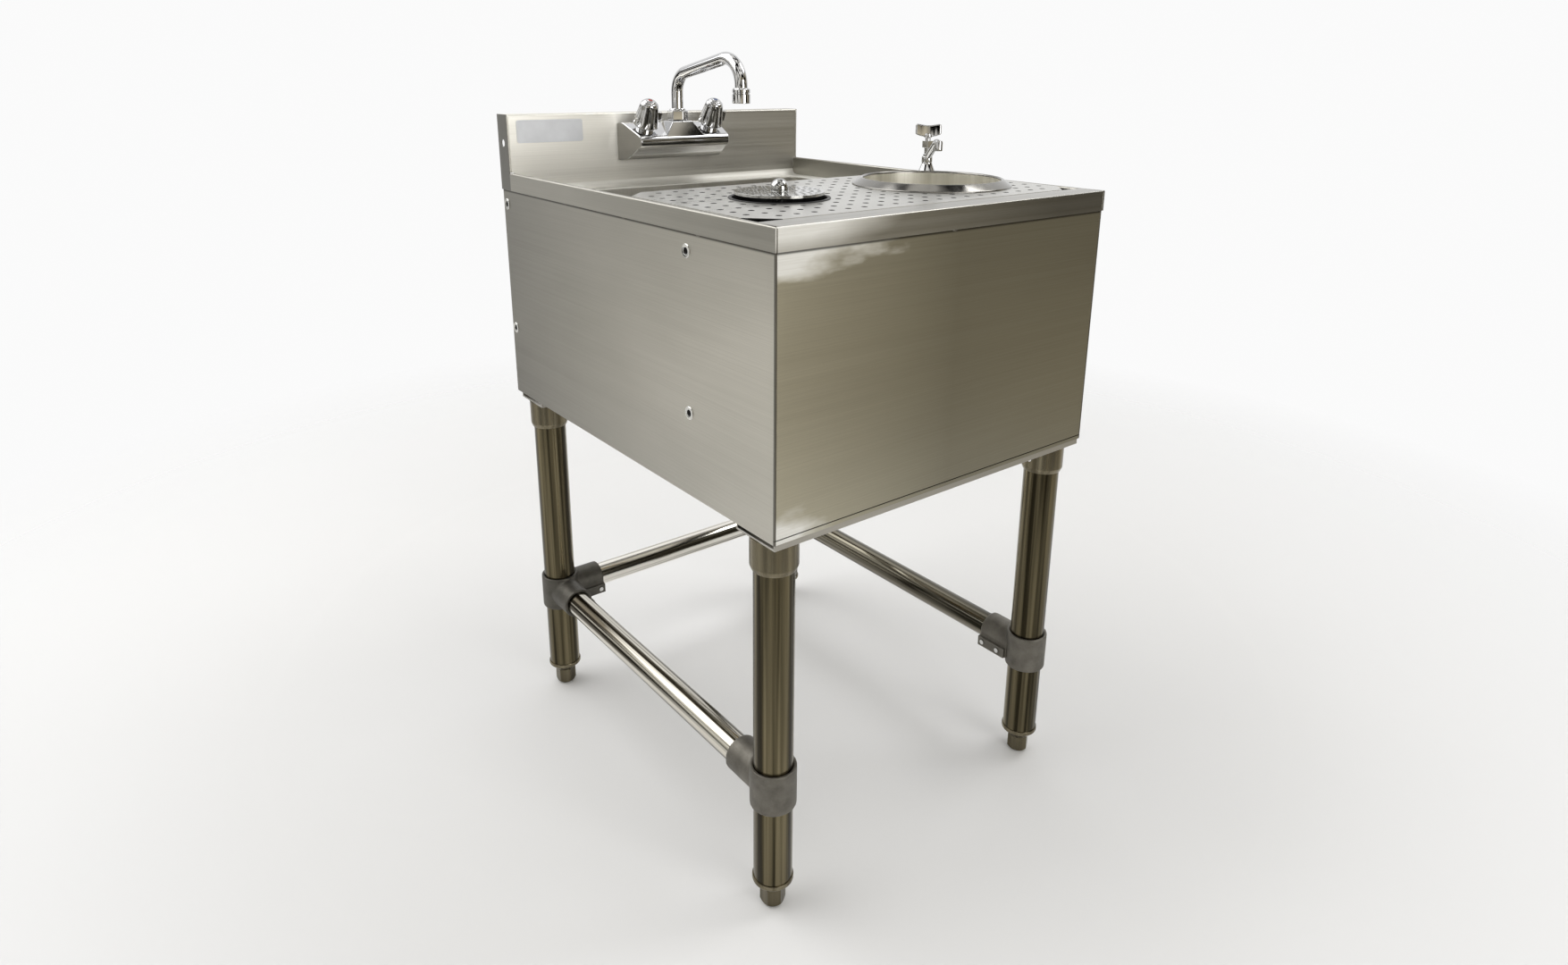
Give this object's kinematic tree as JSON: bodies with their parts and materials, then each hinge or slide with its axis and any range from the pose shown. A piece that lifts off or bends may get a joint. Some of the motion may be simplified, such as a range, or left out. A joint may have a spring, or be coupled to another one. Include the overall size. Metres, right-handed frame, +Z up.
{
  "type": "cocktail station",
  "caption": "Free-standing stainless bar station: sink under a swinging-spout faucet, lift-out perforated panel with a glass rinser and dipper well, tube legs, lower rails.",
  "frame": {"origin": "on the floor, under the middle of the station's box", "axes": "+X to the user's right, +Y to the backsplash, +Z up"},
  "size_m": [0.4572, 0.572, 0.876],
  "materials": {
    "brushed_stainless": "brushed, satin",
    "bare_plate": "pale satin plate, bare",
    "polished_tube": "polished, streaked",
    "socket_steel": "turned",
    "cast_fitting": "matt cast",
    "zinc_screw": "bright",
    "chrome": "mirror",
    "brass_nut": "satin",
    "hot_index": "mirror with a red ring",
    "cold_index": "mirror with a blue ring",
    "black_plastic": "matt",
    "rinser_steel": "satin"
  },
  "bodies": {
    "station": {"top_sheet": "brushed_stainless", "backsplash": "brushed_stainless", "backsplash_end_left": "brushed_stainless", "backsplash_end_right": "brushed_stainless", "left_apron": "brushed_stainless", "right_apron": "brushed_stainless", "front_apron": "brushed_stainless", "front_channel": "brushed_stainless", "rear_channel": "brushed_stainless", "sink_bowl": "brushed_stainless", "drain_flange": "brushed_stainless", "drain_strainer": "brushed_stainless", "drain_tailpiece": "brushed_stainless", "threaded_inserts": "brushed_stainless", "rating_plate": "bare_plate", "leg_fl": "polished_tube", "leg_fr": "polished_tube", "leg_rl": "polished_tube", "leg_rr": "polished_tube", "left_rail": "polished_tube", "right_rail": "polished_tube", "rear_rail": "polished_tube", "foot_sockets": "polished_tube", "leg_sockets": "socket_steel", "rail_fitting_fl": "cast_fitting", "rail_fitting_fr": "cast_fitting", "rail_fitting_rl": "cast_fitting", "rail_fitting_rr": "cast_fitting", "fitting_set_screws": "zinc_screw", "socket_set_screws": "zinc_screw", "faucet_body": "chrome", "hot_bonnet": "chrome", "cold_bonnet": "chrome", "spout_nut": "chrome", "faucet_locknuts": "brass_nut", "drain_locknut": "brass_nut", "drain_coupling": "brass_nut"},
    "panel": {"drainboard_panel": "brushed_stainless", "rinser_cup": "black_plastic", "rinser_nut": "black_plastic", "rinser_valve": "black_plastic", "rinser_spring": "zinc_screw", "well_bowl": "brushed_stainless", "tap_body": "chrome", "tap_locknut": "brass_nut", "packing_nut": "chrome"},
    "rinser": {"rinser_disc": "rinser_steel"},
    "overflow": {"well_overflow": "brushed_stainless"},
    "tap_spout": {"tap_spout": "chrome"},
    "tap_handle": {"tap_handle": "chrome"},
    "spout": {"spout": "chrome", "aerator": "chrome"},
    "hot_knob": {"hot_knob": "chrome", "hot_index_cap": "hot_index"},
    "cold_knob": {"cold_knob": "chrome", "cold_index_cap": "cold_index"},
    "foot_fl": {"foot_fl": "polished_tube"},
    "foot_fr": {"foot_fr": "polished_tube"},
    "foot_rl": {"foot_rl": "polished_tube"},
    "foot_rr": {"foot_rr": "polished_tube"}
  },
  "joints": [
    {"name": "panel_lift", "type": "slide", "parent": "station", "child": "panel", "axis": [0, 0, 1], "range_m": [0, 0.15]},
    {"name": "rinser_press", "type": "slide", "parent": "panel", "child": "rinser", "axis": [0, 0, -1], "range_m": [0, 0.006], "stiffness_N_per_m": 700, "springref_m": -0.012, "deforming": ["rinser_spring"]},
    {"name": "overflow_lift", "type": "slide", "parent": "panel", "child": "overflow", "axis": [0, 0, 1], "range_m": [0, 0.08]},
    {"name": "tap_spout_swing", "type": "hinge", "parent": "panel", "child": "tap_spout", "pos_m": [0.19, -0.0525, 0.751], "axis": [0, 0, 1], "range_deg": [-100, 60]},
    {"name": "tap_handle_turn", "type": "hinge", "parent": "panel", "child": "tap_handle", "pos_m": [0.19, -0.0525, 0.784], "axis": [0, 0, 1], "range_deg": [0, 180]},
    {"name": "spout_swing", "type": "hinge", "parent": "station", "child": "spout", "pos_m": [0, 0.228, 0.8], "axis": [0, 0, 1], "range_deg": [-90, 90]},
    {"name": "hot_knob_turn", "type": "hinge", "parent": "station", "child": "hot_knob", "pos_m": [-0.0508, 0.22856, 0.77968], "axis": [0, -0.4067, 0.9135], "range_deg": [0, 90]},
    {"name": "cold_knob_turn", "type": "hinge", "parent": "station", "child": "cold_knob", "pos_m": [0.0508, 0.22856, 0.77968], "axis": [0, -0.4067, 0.9135], "range_deg": [-90, 0]},
    {"name": "foot_fl_screw_out", "type": "slide", "parent": "station", "child": "foot_fl", "axis": [0, 0, -1], "range_m": [0, 0.02]},
    {"name": "foot_fr_screw_out", "type": "slide", "parent": "station", "child": "foot_fr", "axis": [0, 0, -1], "range_m": [0, 0.02]},
    {"name": "foot_rl_screw_out", "type": "slide", "parent": "station", "child": "foot_rl", "axis": [0, 0, -1], "range_m": [0, 0.02]},
    {"name": "foot_rr_screw_out", "type": "slide", "parent": "station", "child": "foot_rr", "axis": [0, 0, -1], "range_m": [0, 0.02]}
  ]
}
